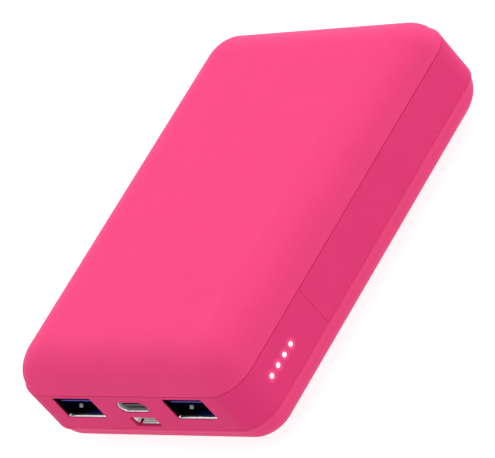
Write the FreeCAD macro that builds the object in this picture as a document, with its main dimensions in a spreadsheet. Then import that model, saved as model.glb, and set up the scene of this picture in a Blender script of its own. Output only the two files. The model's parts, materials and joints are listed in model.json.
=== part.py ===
import FreeCAD, Part

import math
import os
import re

import Sketcher
from FreeCAD import Vector

# Power bank: two domed covers that clip onto a flat band, with the sockets at the -Y end.
# The origin is the centre of the face it lies on, +Z is up and +Y runs along the length.

SIZES = {
    # the case
    "width": 70.0,
    "length": 101.0,
    "corner": 7.6,
    "corner_shrink": 0.62,
    "corner_least": 0.5,
    "band_rise": 10.9,
    "cover_rise": 8.3,
    "lip_rise": 0.7,
    "lip_inset": 0.5,
    "dome_run": 10.2,
    "cover_wall": 1.6,
    "band_wall": 1.8,
    "seam_gap": 0.2,
    "seam_depth": 0.5,
    "fit": 0.1,
    "rib_wall": 1.0,
    "rib_drop": 1.5,
    "rib_root": 1.2,
    "port_depth": 28.6,
    "slit_gap": 0.2,
    "lap_reach": 3.0,
    # the clips that hold the covers
    "clip_wide": 7.0,
    "clip_drop": 3.4,
    "clip_pitch": 22.0,
    "barb_wide": 5.0,
    "barb_rise": 0.6,
    "barb_reach": 0.4,
    "barb_room": 0.2,
    # the board and its screws
    "board_rise": 0.8,
    "board_lift": 3.14,
    "board_gap": 2.0,
    "board_end": 0.7,
    "screw_near_out": 7.8,
    "screw_near_in": 6.0,
    "screw_far_out": 27.5,
    "screw_far_in": 25.0,
    "screw_shank": 0.9,
    "screw_head": 1.9,
    "screw_head_rise": 1.2,
    "screw_reach": 6.0,
    "drive_wide": 2.0,
    "drive_slot": 0.4,
    "drive_deep": 0.7,
    "boss_wall": 1.2,
    # the wide sockets
    "usb_out": 17.65,
    "usb_wide": 13.1,
    "usb_rise": 5.72,
    "usb_deep": 14.0,
    "usb_sheet": 0.3,
    "usb_rim_cover": 0.33,
    "usb_room": 0.23,
    "usb_recess": 0.35,
    "latch_wide": 2.2,
    "latch_long": 2.8,
    "latch_out": 2.9,
    "latch_in": 3.2,
    "tongue_wide": 11.1,
    "tongue_rise": 1.84,
    "tongue_lift": 0.65,
    "tongue_recess": 0.6,
    "heel_deep": 4.0,
    "contact_wide": 1.0,
    "contact_rise": 0.15,
    "contact_long": 7.4,
    # the oval socket on its riser
    "oval_lift": 7.2,
    "oval_wide": 8.94,
    "oval_rise": 3.16,
    "oval_corner": 1.5,
    "oval_deep": 7.5,
    "oval_sheet": 0.25,
    "oval_recess": 0.2,
    "oval_tongue_wide": 6.7,
    "oval_tongue_rise": 0.7,
    "riser_wide": 10.4,
    # the small socket let into the board
    "micro_lift": 2.4,
    "micro_wide": 7.5,
    "micro_rise": 2.45,
    "micro_taper": 0.8,
    "micro_deep": 5.2,
    "micro_sheet": 0.25,
    "micro_recess": 0.6,
    "micro_room": 0.28,
    "micro_tongue_in": 2.0,
    "micro_tongue_wide": 3.6,
    "micro_tongue_rise": 0.6,
    # the charge lamps
    "lamp_in": 10.1,
    "lamp_pitch": 2.8,
    "lamp_lift": 5.6,
    "lamp_radius": 0.6,
    "guide_thick": 1.2,
    "guide_over": 1.0,
    "diode_long": 1.6,
    "diode_deep": 1.0,
    "diode_rise": 1.2,
    # the charge-check button
    "key_long": 8.2,
    "key_rise": 3.2,
    "key_corner": 1.5,
    "key_travel": 0.4,
    "key_flange": 0.9,
    "key_flange_thick": 0.8,
    "key_stem": 1.0,
    "key_in": 14.3,
    "switch_long": 4.6,
    "switch_deep": 3.5,
    "switch_rise": 3.3,
    "plunger_long": 2.0,
    "plunger_rise": 1.2,
    "plunger_reach": 0.8,
    # the cells
    "cell_radius": 9.2,
    "cell_long": 65.0,
    "cell_room": 0.6,
    "cell_gap": 3.0,
    "wrap_thick": 0.17,
    "cap_radius": 2.8,
    "cap_rise": 0.9,
    "crimp_in": 3.6,
    "crimp_deep": 0.7,
    "washer_margin": 0.63,
    "washer_bore": 3.3,
    "washer_thick": 0.2,
    "strip_thick": 0.2,
    "front_strip_rise": 5.6,
    "rear_strip_rise": 10.0,
    "saddle_thick": 3.0,
    "saddle_room": 0.1,
    "saddle_rise": 9.0,
    "saddle_in": 11.1,
    # leads
    "lead_radius": 0.8,
    "lead_bend": 1.9,
    "lead_room": 0.25,
    "sensor_room": 0.15,
    "sensor_lead": 0.35,
    "sensor_radius": 0.9,
    "sensor_long": 4.0,
    "sensor_in": 18.0,
    # parts on the board
    "coil_radius": 4.6,
    "coil_waist": 2.2,
    "coil_flange": 0.9,
    "coil_rise": 4.4,
    "can_radius": 2.6,
    "can_rise": 5.4,
}

PLACES = {
    # levels
    "seam_low": "cover_rise",
    "seam_high": "cover_rise + band_rise",
    "total_rise": "2 * cover_rise + band_rise",
    "mid_level": "cover_rise + band_rise / 2",
    "board_low": "seam_low + board_lift",
    "board_top": "board_low + board_rise",
    "lamp_level": "seam_low + lamp_lift",
    "usb_level": "board_top + usb_rise / 2",
    "oval_level": "seam_low + oval_lift",
    "micro_level": "seam_low + micro_lift",
    "key_level": "board_top + switch_rise / 2",
    "lead_level": "mid_level + front_strip_rise / 2 + lead_radius + lead_room",
    "sensor_level": "mid_level + sqrt((cell_radius + sensor_radius + sensor_room) ^ 2 - cell_valley ^ 2)",
    # places across the width
    "side_face": "width / 2",
    "side_wall": "width / 2 - band_wall",
    "board_wide": "width - 2 * (band_wall + board_gap)",
    "board_side": "board_wide / 2",
    "flat_wide": "width - 2 * (lip_inset + cover_wall + dome_run) - 0.4",
    "cell_pitch": "2 * cell_radius + cell_room",
    "cell_valley": "cell_pitch / 2",
    # places along the length
    "port_face": "-length / 2",
    "slit": "port_face + port_depth",
    "flat_end": "length / 2 - (lip_inset + cover_wall + dome_run) - 0.2",
    "board_front": "port_face + band_wall + 0.3",
    "board_back": "slit - board_end",
    "usb_mouth": "port_face + usb_recess",
    "oval_mouth": "port_face + oval_recess",
    "micro_mouth": "port_face + micro_recess",
    "key_place": "port_face + key_in",
    "cap_front": "slit + cell_gap",
    "can_front": "cap_front + cap_rise",
    "can_back": "cap_front + cell_long",
    "rest_end": "min(flat_end; can_back - saddle_in + saddle_thick)",
    "lead_root": "board_back - 3",
    # small sizes that follow
    "can_wall": "cell_radius - wrap_thick",
    "washer_radius": "can_wall - washer_margin",
    "screw_hole": "screw_shank + fit / 2",
    "latch_middle": "usb_mouth + latch_in + latch_long / 2",
}

# what each named plane looks along: its own two directions, its normal and that normal's sense
PLANES = {"XY": ((0, 1, 2), 1), "XZ": ((0, 2, 1), -1), "YZ": ((1, 2, 0), 1)}

DOME_STEPS = (0, 15, 30, 45, 60, 75, 90)
ENDS = (-1, 1)

doc = FreeCAD.newDocument("power_bank")
sheet = doc.addObject("Spreadsheet::Sheet", "Sizes")
nodes = []


def fill_sheet():
    for row, (name, size) in enumerate(SIZES.items(), 1):
        sheet.set("A%d" % row, name)
        sheet.set("B%d" % row, str(size))
        sheet.setAlias("B%d" % row, name)
    doc.recompute()


def spell(text):
    """Turn a size in words into an expression on the sheet."""
    def swap(found):
        name = found[0]
        if name in PLACES:
            return "(%s)" % spell(PLACES[name])
        return "Sizes." + name if name in SIZES else name
    return re.sub(r"[a-z][a-z_]+", swap, str(text))


def value(text):
    return float(sheet.evalExpression(spell(text)))


def new_body(label):
    body = doc.addObject("PartDesign::Body", label)
    body.Label = label
    nodes.append(body)
    return body


def new_sketch(body, plane, centre):
    order, sense = PLANES[plane]
    base = [each for each in body.Origin.OriginFeatures if each.Role == plane + "_Plane"][0]
    sketch = body.newObject("Sketcher::SketchObject", "sketch")
    sketch.AttachmentSupport = [(base, "")]
    sketch.MapMode = "FlatFace"
    for own, axis in zip("xyz", order):
        sign = "-" if own == "z" and sense < 0 else ""
        sketch.setExpression("AttachmentOffset.Base." + own, "%s(%s)" % (sign, spell(centre[axis])))
    return sketch


def hold(sketch, kind, text, *where):
    """Add one driven size to a sketch."""
    number = sketch.addConstraint(Sketcher.Constraint(kind, *where, value(text)))
    name = "size%d" % number
    sketch.renameConstraint(number, name)
    sketch.setExpression("Constraints." + name, spell(text))


def add_loop(sketch, wide, tall, corner):
    """Draw a rounded rectangle about the sketch's own origin."""
    half_wide, half_tall, bend = value(wide) / 2, value(tall) / 2, value(corner)
    corners = ((1, -1, -90), (1, 1, 0), (-1, 1, 90), (-1, -1, 180))
    arcs = []
    for along, up, start in corners:
        middle = Vector(along * (half_wide - bend), up * (half_tall - bend), 0)
        circle = Part.Circle(middle, Vector(0, 0, 1), bend)
        turn = math.radians(start)
        arcs.append(sketch.addGeometry(Part.ArcOfCircle(circle, turn, turn + math.pi / 2), False))
    lines = []
    for number, arc in enumerate(arcs):
        first = sketch.Geometry[arc].EndPoint
        last = sketch.Geometry[arcs[(number + 1) % 4]].StartPoint
        lines.append(sketch.addGeometry(Part.LineSegment(first, last), False))
    for number, line in enumerate(lines):
        following = arcs[(number + 1) % 4]
        sketch.addConstraint(Sketcher.Constraint("Tangent", arcs[number], 2, line, 1))
        sketch.addConstraint(Sketcher.Constraint("Tangent", line, 2, following, 1))
        sketch.addConstraint(Sketcher.Constraint(("Vertical", "Horizontal")[number % 2], line))
    for arc in arcs[1:]:
        sketch.addConstraint(Sketcher.Constraint("Equal", arcs[0], arc))
    sketch.addConstraint(Sketcher.Constraint("Symmetric", lines[0], 1, lines[2], 1, -1, 1))
    hold(sketch, "DistanceX", wide, lines[2], 1, lines[0], 1)
    hold(sketch, "DistanceY", tall, lines[3], 1, lines[1], 1)
    hold(sketch, "Radius", corner, arcs[0])


def rounded(body, plane, centre, wide, tall, corner):
    sketch = new_sketch(body, plane, centre)
    add_loop(sketch, wide, tall, corner)
    return sketch


def ring(body, plane, centre, wide, tall, corner, wall):
    sketch = rounded(body, plane, centre, wide, tall, corner)
    inner = "max(corner_least; (%s) - (%s))" % (corner, wall)
    add_loop(sketch, "%s - 2 * (%s)" % (wide, wall), "%s - 2 * (%s)" % (tall, wall), inner)
    return sketch


def polygon(body, plane, centre, points):
    """Draw a closed outline whose points are given from the sketch's own origin."""
    sketch = new_sketch(body, plane, centre)
    spots = [Vector(value(across), value(up), 0) for across, up in points]
    for first, last in zip(spots, spots[1:] + spots[:1]):
        sketch.addGeometry(Part.LineSegment(first, last), False)
    for number in range(len(points)):
        following = (number + 1) % len(points)
        sketch.addConstraint(Sketcher.Constraint("Coincident", number, 2, following, 1))
        hold(sketch, "DistanceX", points[number][0], -1, 1, number, 1)
        hold(sketch, "DistanceY", points[number][1], -1, 1, number, 1)
    return sketch


def block(body, plane, centre, wide, tall):
    """Draw a plain rectangle about the sketch's own origin."""
    across, up = "(%s) / 2" % wide, "(%s) / 2" % tall
    corners = [("-" + across, "-" + up), (across, "-" + up), (across, up), ("-" + across, up)]
    return polygon(body, plane, centre, corners)


def dots(body, plane, centre, spots, radius):
    """Draw one circle at each spot."""
    sketch = new_sketch(body, plane, centre)
    for number, (across, up) in enumerate(spots):
        middle = Vector(value(across), value(up), 0)
        sketch.addGeometry(Part.Circle(middle, Vector(0, 0, 1), value(radius)), False)
        hold(sketch, "DistanceX", across, -1, 1, number, 3)
        hold(sketch, "DistanceY", up, -1, 1, number, 3)
        hold(sketch, "Radius", radius, number)
    return sketch


def normal_sense(sketch):
    return 1 if sum(sketch.Placement.Rotation.multVec(Vector(0, 0, 1))) > 0 else -1


def pad(body, sketch, depth, toward=1):
    doc.recompute()
    feature = body.newObject("PartDesign::Pad", "pad")
    feature.Profile = sketch
    feature.setExpression("Length", spell(depth))
    feature.Reversed = toward * normal_sense(sketch) < 0
    return feature


def cut(body, sketch, depth, toward=1):
    doc.recompute()
    before = body.Shape.Volume
    feature = body.newObject("PartDesign::Pocket", "pocket")
    feature.Profile = sketch
    feature.setExpression("Length", spell(depth))
    feature.Reversed = toward * normal_sense(sketch) > 0
    doc.recompute()
    if body.Shape.Volume > before - 1e-4:
        raise ValueError("%s: a pocket cut nothing" % body.Label)
    return feature


def loft(body, kind, sections):
    doc.recompute()
    feature = body.newObject("PartDesign::" + kind, "loft")
    feature.Profile = sections[0]
    feature.Sections = sections[1:]
    doc.recompute()
    return feature


def turn(body, sketch, axis):
    feature = body.newObject("PartDesign::Revolution", "turning")
    feature.Profile = sketch
    feature.ReferenceAxis = (sketch, [axis])
    feature.Angle = 360
    return feature


def stand(thing, place):
    """Bind where a piece's own origin stands."""
    for axis, text in zip("xyz", place):
        thing.setExpression("Placement.Base." + axis, spell(text))


def box(name, low, sides):
    """A plain block from its lowest corner."""
    solid = doc.addObject("Part::Box", name)
    for side, text in zip(("Length", "Width", "Height"), sides):
        solid.setExpression(side, spell(text))
    stand(solid, low)
    return solid


def group(label, solids):
    """Keep several separate solids as one piece."""
    together = doc.addObject("Part::Compound", label)
    together.Links = solids
    together.Label = label
    nodes.append(together)
    return together


def boxes(label, lows, sides):
    return group(label, [box(label + "_solid", low, sides) for low in lows])


# ---------------------------------------------------------------- case


def screw_spots():
    near = [("%d * screw_near_out" % side, "port_face + screw_near_in") for side in ENDS]
    far = [("%d * screw_far_out" % side, "port_face + screw_far_in") for side in ENDS]
    return near + far


def clip_spots():
    """Places of the clips along each long side."""
    return ["slit + 14 + %d * clip_pitch" % number for number in range(3)]


def dome_sections(body, level, inset, rise, shrink):
    """Outlines of a dome, from its foot to its flat top."""
    sections = []
    for angle in DOME_STEPS:
        run = "(%s + dome_run * (1 - cos(%d)))" % (inset, angle)
        height = level("lip_rise + (%s) * sin(%d)" % (rise, angle))
        bend = "max(corner_least; corner - corner_shrink * %s - %s)" % (run, shrink)
        wide, tall = "width - 2 * " + run, "length - 2 * " + run
        sections.append(rounded(body, "XY", ("0", "0", height), wide, tall, bend))
    return sections


def cover(label, up):
    """A domed cover with its lip, locating rib and clips; up is 1 for the top and -1 for the bottom."""
    body = new_body(label)

    def level(text):
        return "seam_high + (%s)" % text if up > 0 else "seam_low - (%s)" % text

    def plan(text):
        return "0", "0", level(text)

    loft(body, "AdditiveLoft", dome_sections(body, level, "lip_inset", "cover_rise - lip_rise", "0"))
    lip = rounded(body, "XY", plan("seam_gap"), "width", "length", "corner")
    pad(body, lip, "lip_rise - seam_gap", up)
    neck_wide, neck_long = "width - 2 * seam_depth", "length - 2 * seam_depth"
    neck = rounded(body, "XY", plan("0"), neck_wide, neck_long, "corner - seam_depth")
    pad(body, neck, "seam_gap", up)

    inset = "(lip_inset + cover_wall)"
    rise = "cover_rise - lip_rise - cover_wall"
    loft(body, "SubtractiveLoft", dome_sections(body, level, inset, rise, "cover_wall"))
    mouth_bend = "corner - corner_shrink * %s - cover_wall" % inset
    mouth_wide, mouth_long = "width - 2 * " + inset, "length - 2 * " + inset
    mouth = rounded(body, "XY", plan("0"), mouth_wide, mouth_long, mouth_bend)
    cut(body, mouth, "lip_rise", up)

    out = "(band_wall + fit)"
    rib_wide, rib_long = "width - 2 * " + out, "length - 2 * " + out
    rib = ring(body, "XY", plan("-rib_drop"), rib_wide, rib_long, "corner - " + out, "rib_wall")
    pad(body, rib, "rib_drop + rib_root", up)
    room = ("0", "port_face + %s + rib_wall" % out, level("-rib_drop"))
    doorway = block(body, "XY", room, "2 * (usb_out + usb_wide / 2 + 1)", "2 * rib_wall")
    cut(body, doorway, "rib_drop + rib_root", up)
    for side in ENDS:
        for spot in clip_spots():
            add_clip(body, side, spot, level, up)
    return body


def add_clip(body, side, spot, level, up):
    """A clip hangs inside the band's wall, and its barb sits in the wall's pocket."""
    middle = "%d * (side_wall - fit - rib_wall / 2)" % side
    plate = block(body, "XY", (middle, spot, level("-clip_drop")), "rib_wall", "clip_wide")
    pad(body, plate, "clip_drop + rib_root", up)
    reach = "%d * (side_wall - fit + barb_reach / 2 - 0.1)" % side
    barb = block(body, "XY", (reach, spot, level("-clip_drop")), "barb_reach + 0.2", "barb_wide")
    pad(body, barb, "barb_rise", up)


def top_cover():
    cover("top_cover", 1)


def bottom_cover():
    """The bottom cover carries the screw posts, which follow the dome's outside down to its skin."""
    body = cover("bottom_cover", -1)
    posts = dots(body, "XY", ("0", "0", "0"), screw_spots(), "screw_hole + boss_wall")
    pad(body, posts, "board_low")
    holes = dots(body, "XY", ("0", "0", "board_low"), screw_spots(), "screw_hole")
    cut(body, holes, "screw_reach + 0.5 - board_rise", -1)

    form = doc.addObject("PartDesign::Body", "cover_form")
    level = "seam_low - (%s)".__mod__
    loft(form, "AdditiveLoft", dome_sections(form, level, "lip_inset", "cover_rise - lip_rise", "0"))
    rim = rounded(form, "XY", ("0", "0", "seam_low - lip_rise"), "width", "length", "corner")
    pad(form, rim, "lip_rise + board_lift + 1")
    doc.recompute()
    trim = body.newObject("PartDesign::Boolean", "trim")
    trim.setObjects([form])
    trim.Type = "Common"


def band_piece(label, keep):
    """A stretch of the band: keep is -1 for the socket end and 1 for the rest."""
    body = new_body(label)
    outline = ring(body, "XY", ("0", "0", "seam_low"), "width", "length", "corner", "band_wall")
    pad(body, outline, "band_rise")
    middle = "slit - %d * (length / 2 - slit_gap / 2)" % keep
    rest = block(body, "XY", ("0", middle, "seam_low"), "width + 2", "length")
    cut(body, rest, "band_rise")
    return body


def cut_barb_pockets(body):
    level_room = "clip_drop - barb_rise - barb_room"
    for side in ENDS:
        for spot in clip_spots():
            for base in ("seam_low + " + level_room, "seam_high - clip_drop - barb_room"):
                place = ("%d * side_wall" % side, spot, base)
                wide = "2 * (barb_reach - fit + barb_room)"
                pocket = block(body, "XY", place, wide, "barb_wide + 2 * barb_room")
                cut(body, pocket, "barb_rise + 2 * barb_room")


def side_band():
    body = band_piece("side_band", 1)
    cut_barb_pockets(body)


def port_frame():
    body = band_piece("port_frame", -1)
    for side in ENDS:
        inner = "%d * (side_wall - fit - rib_wall)" % side
        outer = "%d * (side_wall - fit)" % side
        wall = "%d * (side_wall + band_wall / 4)" % side
        start, joint, end = "slit - lap_reach", "slit - slit_gap / 2", "slit + lap_reach"
        outline = [(inner, start), (wall, start), (wall, joint), (outer, joint), (outer, end), (inner, end)]
        lap = polygon(body, "XY", ("0", "0", "seam_low + rib_drop + 0.5"), outline)
        pad(body, lap, "band_rise - 2 * rib_drop - 1")
    cut_port_windows(body)
    lamps = dots(body, "YZ", ("side_wall - 1", "0", "0"), lamp_spots(), "lamp_radius + fit / 2")
    cut(body, lamps, "band_wall + 2")
    key = ("-side_face - 1", "key_place", "key_level")
    gap = "key_long + 2 * fit", "key_rise + 2 * fit", "key_corner + fit"
    cut(body, rounded(body, "YZ", key, *gap), "band_wall + 2")


def cut_port_windows(body):
    """Windows in the socket end, each with room behind its rim for the shell."""
    for side in ENDS:
        front = ("%d * usb_out" % side, "port_face - 1", "usb_level")
        window = rounded(body, "XZ", front, "usb_wide - 2 * usb_rim_cover", "usb_rise + 2 * usb_room", "0.4")
        cut(body, window, "band_wall + 2")
        behind = ("%d * usb_out" % side, "usb_mouth - fit / 2", "usb_level")
        room = rounded(body, "XZ", behind, "usb_wide + 2 * fit", "usb_rise + 2 * usb_room", "0.4")
        cut(body, room, "band_wall + 2")
    oval = "oval_wide + 2 * fit", "oval_rise + 2 * fit", "oval_corner + fit"
    cut(body, rounded(body, "XZ", ("0", "port_face - 1", "oval_level"), *oval), "band_wall + 2")
    small = "micro_wide + 2 * micro_room", "micro_rise + 2 * micro_room", "0.5"
    cut(body, rounded(body, "XZ", ("0", "port_face - 1", "micro_level"), *small), "band_wall + 2")


# ---------------------------------------------------------------- lamps and button


def lamp_spots():
    return [("port_face + lamp_in + %d * lamp_pitch" % number, "lamp_level") for number in range(4)]


def light_guide():
    body = new_body("light_guide")
    low = "board_top + fit"
    tall = "(lamp_level + lamp_radius + guide_over - (%s))" % low
    along = "port_face + lamp_in + 1.5 * lamp_pitch"
    centre = ("side_wall - fit - guide_thick", along, "%s + %s / 2" % (low, tall))
    bar = rounded(body, "YZ", centre, "3 * lamp_pitch + 2 * (lamp_radius + guide_over)", tall, "0.4")
    pad(body, bar, "guide_thick")
    pins = dots(body, "YZ", ("side_wall - fit", "0", "0"), lamp_spots(), "lamp_radius")
    pad(body, pins, "band_wall + fit")


def lamp_diodes():
    lows = [
        ("board_side - diode_deep", "%s - diode_long / 2" % along, "board_top")
        for along, _ in lamp_spots()
    ]
    boxes("lamp_diodes", lows, ("diode_deep", "diode_long", "diode_rise"))


def charge_button():
    """The key fills its window flush; a flange behind the wall keeps it in."""
    body = new_body("charge_button")
    face = ("-side_face", "key_place", "key_level")
    pad(body, rounded(body, "YZ", face, "key_long", "key_rise", "key_corner"), "band_wall + fit")
    back = ("-side_wall + fit / 2", "key_place", "key_level")
    flange = "key_long + 2 * key_flange", "key_rise + 2 * key_flange", "key_corner"
    pad(body, rounded(body, "YZ", back, *flange), "key_flange_thick")
    stem_root = ("-side_wall + fit / 2 + key_flange_thick", "key_place", "key_level")
    stem = dots(body, "YZ", stem_root, [("0", "0")], "key_stem")
    pad(body, stem, "board_gap - fit / 2 - key_flange_thick - plunger_reach")


def switch_body():
    body = new_body("switch_body")
    centre = ("-board_side", "key_place", "board_top + switch_rise / 2")
    pad(body, rounded(body, "YZ", centre, "switch_long", "switch_rise", "0.3"), "switch_deep")
    mouth = ("-board_side", "key_place", "key_level")
    bore = block(body, "YZ", mouth, "plunger_long + 2 * fit", "plunger_rise + 2 * fit")
    cut(body, bore, "plunger_reach + key_travel + 0.4")


def switch_plunger():
    body = new_body("switch_plunger")
    tip = ("-board_side - plunger_reach", "key_place", "key_level")
    pad(body, block(body, "YZ", tip, "plunger_long", "plunger_rise"), "2 * plunger_reach")


# ---------------------------------------------------------------- board


def circuit_board():
    body = new_body("circuit_board")
    centre = ("0", "(board_front + board_back) / 2", "board_low")
    corner = "corner - band_wall - 0.3"
    pad(body, rounded(body, "XY", centre, "board_wide", "board_back - board_front", corner), "board_rise")
    holes = dots(body, "XY", ("0", "0", "board_low"), screw_spots(), "screw_hole + fit")
    cut(body, holes, "board_rise")
    notch = ("0", "board_front", "board_low")
    deep = "2 * (micro_mouth + micro_deep + 0.2 - board_front)"
    cut(body, block(body, "XY", notch, "micro_wide + 0.3", deep), "board_rise")


def board_screws():
    body = new_body("board_screws")
    top = ("0", "0", "board_top")
    pad(body, dots(body, "XY", top, screw_spots(), "screw_head"), "screw_head_rise")
    pad(body, dots(body, "XY", top, screw_spots(), "screw_shank"), "screw_reach", -1)
    head = "board_top + screw_head_rise"
    for across, along in screw_spots():
        for sides in (("drive_wide", "drive_slot"), ("drive_slot", "drive_wide")):
            cut(body, block(body, "XY", (across, along, head), *sides), "drive_deep", -1)


def coil():
    """A drum core with its winding."""
    centre = ("0", "board_back - coil_radius - 1.5", "board_top")
    core = new_body("coil_core")
    waist_top = "coil_rise - coil_flange"
    profile = [
        ("0", "0"), ("coil_radius", "0"),
        ("coil_radius", "coil_flange"), ("coil_waist", "coil_flange"),
        ("coil_waist", waist_top), ("coil_radius", waist_top),
        ("coil_radius", "coil_rise"), ("0", "coil_rise"),
    ]
    turn(core, polygon(core, "XZ", ("0", "0", "0"), profile), "V_Axis")
    stand(core, centre)
    winding = new_body("coil_winding")
    inner, outer = "coil_waist + 0.05", "coil_radius - 0.5"
    low, high = "coil_flange + 0.05", waist_top + " - 0.05"
    outline = [(inner, low), (outer, low), (outer, high), (inner, high)]
    turn(winding, polygon(winding, "XZ", ("0", "0", "0"), outline), "V_Axis")
    stand(winding, centre)


def can_capacitors():
    cans = []
    for side in ENDS:
        can = doc.addObject("Part::Cylinder", "can")
        can.setExpression("Radius", spell("can_radius"))
        can.setExpression("Height", spell("can_rise"))
        stand(can, ("%d * (coil_radius + can_radius + 1.5)" % side, "board_back - 7.2", "board_top"))
        cans.append(can)
    group("can_capacitors", cans)


CHIPS = {
    # across, back from the board's rear edge, then the plastic's own width, depth and height
    "power_chip": ("19.5", "4.6", "5.0", "5.0", "0.9"),
    "charge_chip": ("-19.5", "4.4", "4.9", "3.9", "1.5"),
    "control_chip": ("switch_deep - board_side + 2.2", "9.0", "3.9", "4.9", "1.4"),
}


def chips():
    legs = []
    for label, (across, back, wide, deep, rise) in CHIPS.items():
        body = new_body(label)
        centre = (across, "board_back - %s" % back, "board_top + 0.1")
        pad(body, rounded(body, "XY", centre, wide, deep, "0.2"), rise + " - 0.1")
        for side in ENDS:
            for number in range(4):
                low_across = "%s + (%d - 1.5) * 1.1 - 0.2" % (across, number)
                low_along = "board_back - %s + %d * (%s / 2 + 0.35) - 0.35" % (back, side, deep)
                legs.append(box("leg", (low_across, low_along, "board_top"), ("0.4", "0.7", "0.1")))
    group("chip_legs", legs)


def small_parts():
    """Rows of small capacitors and resistors, square to the board."""
    rows = [("%g" % across, "board_back - 1.6", "board_top") for across in (-13, -11, 12, 14, 16)]
    boxes("capacitors", rows, ("1.6", "0.8", "0.8"))
    back = "usb_mouth + usb_deep + 1.2"
    rows = [("%g" % across, back, "board_top") for across in (-22, -19, -16, 14, 17, 20)]
    boxes("resistors", rows, ("1.6", "0.8", "0.45"))


# ---------------------------------------------------------------- sockets


def usb_socket(label, side):
    """A wide socket: folded shell, tongue with its heel, and four contacts."""
    across = "%d * usb_out" % side
    shell = new_body(label + "_shell")
    mouth = (across, "usb_mouth", "usb_level")
    pad(shell, rounded(shell, "XZ", mouth, "usb_wide", "usb_rise", "0.5"), "usb_deep")
    inside = "usb_wide - 2 * usb_sheet", "usb_rise - 2 * usb_sheet", "0.2"
    cut(shell, rounded(shell, "XZ", mouth, *inside), "usb_deep - usb_sheet")
    for place in ENDS:
        hole = ("%s + %d * latch_out" % (across, place), "latch_middle", "usb_level - usb_rise")
        cut(shell, block(shell, "XY", hole, "latch_wide", "latch_long"), "2 * usb_rise")

    tongue = new_body(label + "_tongue")
    tip = (across, "usb_mouth + tongue_recess", "usb_level + tongue_lift")
    reach = "usb_deep - usb_sheet - tongue_recess - 0.1"
    pad(tongue, rounded(tongue, "XZ", tip, "tongue_wide", "tongue_rise", "0.3"), reach)
    heel_wide, heel_rise = "usb_wide - 2 * usb_sheet - 0.2", "usb_rise - 2 * usb_sheet - 0.2"
    heel = (across, "usb_mouth + usb_deep - usb_sheet - 0.1", "usb_level")
    pad(tongue, rounded(tongue, "XZ", heel, heel_wide, heel_rise, "0.2"), "heel_deep", -1)

    lows = []
    for place in (-3.5, -1, 1, 3.5):
        underside = "usb_level + tongue_lift - tongue_rise / 2 - contact_rise"
        edge = "%s + %g - contact_wide / 2" % (across, place)
        lows.append((edge, "usb_mouth + tongue_recess + 0.8", underside))
    boxes(label + "_contacts", lows, ("contact_wide", "contact_long", "contact_rise"))


def oval_socket():
    """The oval socket and the riser that carries it above the board."""
    shell = new_body("usb_c_shell")
    mouth = ("0", "oval_mouth", "oval_level")
    pad(shell, rounded(shell, "XZ", mouth, "oval_wide", "oval_rise", "oval_corner"), "oval_deep")
    inner_wide, inner_rise = "(oval_wide - 2 * oval_sheet)", "(oval_rise - 2 * oval_sheet)"
    inside = rounded(shell, "XZ", mouth, inner_wide, inner_rise, "oval_corner - oval_sheet")
    cut(shell, inside, "oval_deep - oval_sheet")

    tongue = new_body("usb_c_tongue")
    tip = ("0", "oval_mouth + 0.6", "oval_level")
    reach = "oval_deep - oval_sheet - 0.7"
    pad(tongue, rounded(tongue, "XZ", tip, "oval_tongue_wide", "oval_tongue_rise", "0.2"), reach)
    heel = ("0", "oval_mouth + oval_deep - oval_sheet - 0.1", "oval_level")
    heel_bend = "oval_corner - oval_sheet - 0.15"
    heel_outline = rounded(tongue, "XZ", heel, inner_wide + " - 0.2", inner_rise + " - 0.2", heel_bend)
    pad(tongue, heel_outline, "1.5", -1)

    lows = []
    for number in range(12):
        for base in ("oval_level + oval_tongue_rise / 2", "oval_level - oval_tongue_rise / 2 - 0.05"):
            lows.append(("(%d - 5.5) * 0.5 - 0.125" % number, "oval_mouth + 1.2", base))
    boxes("usb_c_contacts", lows, ("0.25", "3.6", "0.05"))

    riser = new_body("usb_c_riser")
    height = "oval_level - oval_rise / 2 - board_top"
    foot = ("0", "(board_front + 0.2 + oval_mouth + oval_deep) / 2", "board_top")
    deep = "oval_mouth + oval_deep - board_front - 0.2"
    pad(riser, block(riser, "XY", foot, "riser_wide", deep), height)


def micro_outline(body, place, shrink):
    """The small socket's outline: square at the top and tapered below."""
    side = "(micro_wide / 2 - %s)" % shrink
    top = "(micro_rise / 2 - %s)" % shrink
    heel = "(%s - micro_taper)" % side
    points = [
        ("-" + heel, "-" + top), (heel, "-" + top), (side, "-0.1"),
        (side, top), ("-" + side, top), ("-" + side, "-0.1"),
    ]
    return polygon(body, "XZ", place, points)


def micro_socket():
    shell = new_body("micro_usb_shell")
    mouth = ("0", "micro_mouth", "micro_level")
    pad(shell, micro_outline(shell, mouth, "0"), "micro_deep")
    cut(shell, micro_outline(shell, mouth, "micro_sheet"), "micro_deep - micro_sheet")

    tongue = new_body("micro_usb_tongue")
    lift = "micro_level + 0.35"
    tip = ("0", "micro_mouth + micro_tongue_in", lift)
    reach = "micro_deep - micro_sheet - micro_tongue_in - 0.1"
    pad(tongue, rounded(tongue, "XZ", tip, "micro_tongue_wide", "micro_tongue_rise", "0.15"), reach)
    heel = ("0", "micro_mouth + micro_deep - micro_sheet - 0.1", "micro_level")
    pad(tongue, micro_outline(tongue, heel, "(micro_sheet + 0.1)"), "1.2", -1)

    base = lift + " - micro_tongue_rise / 2 - 0.05"
    front = "micro_mouth + micro_tongue_in + 0.3"
    lows = [("(%d - 2) * 0.65 - 0.15" % number, front, base) for number in range(5)]
    boxes("micro_usb_contacts", lows, ("0.3", "1.2", "0.05"))


# ---------------------------------------------------------------- cells and leads


CELLS = {"left": -1, "middle": 0, "right": 1}


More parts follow.
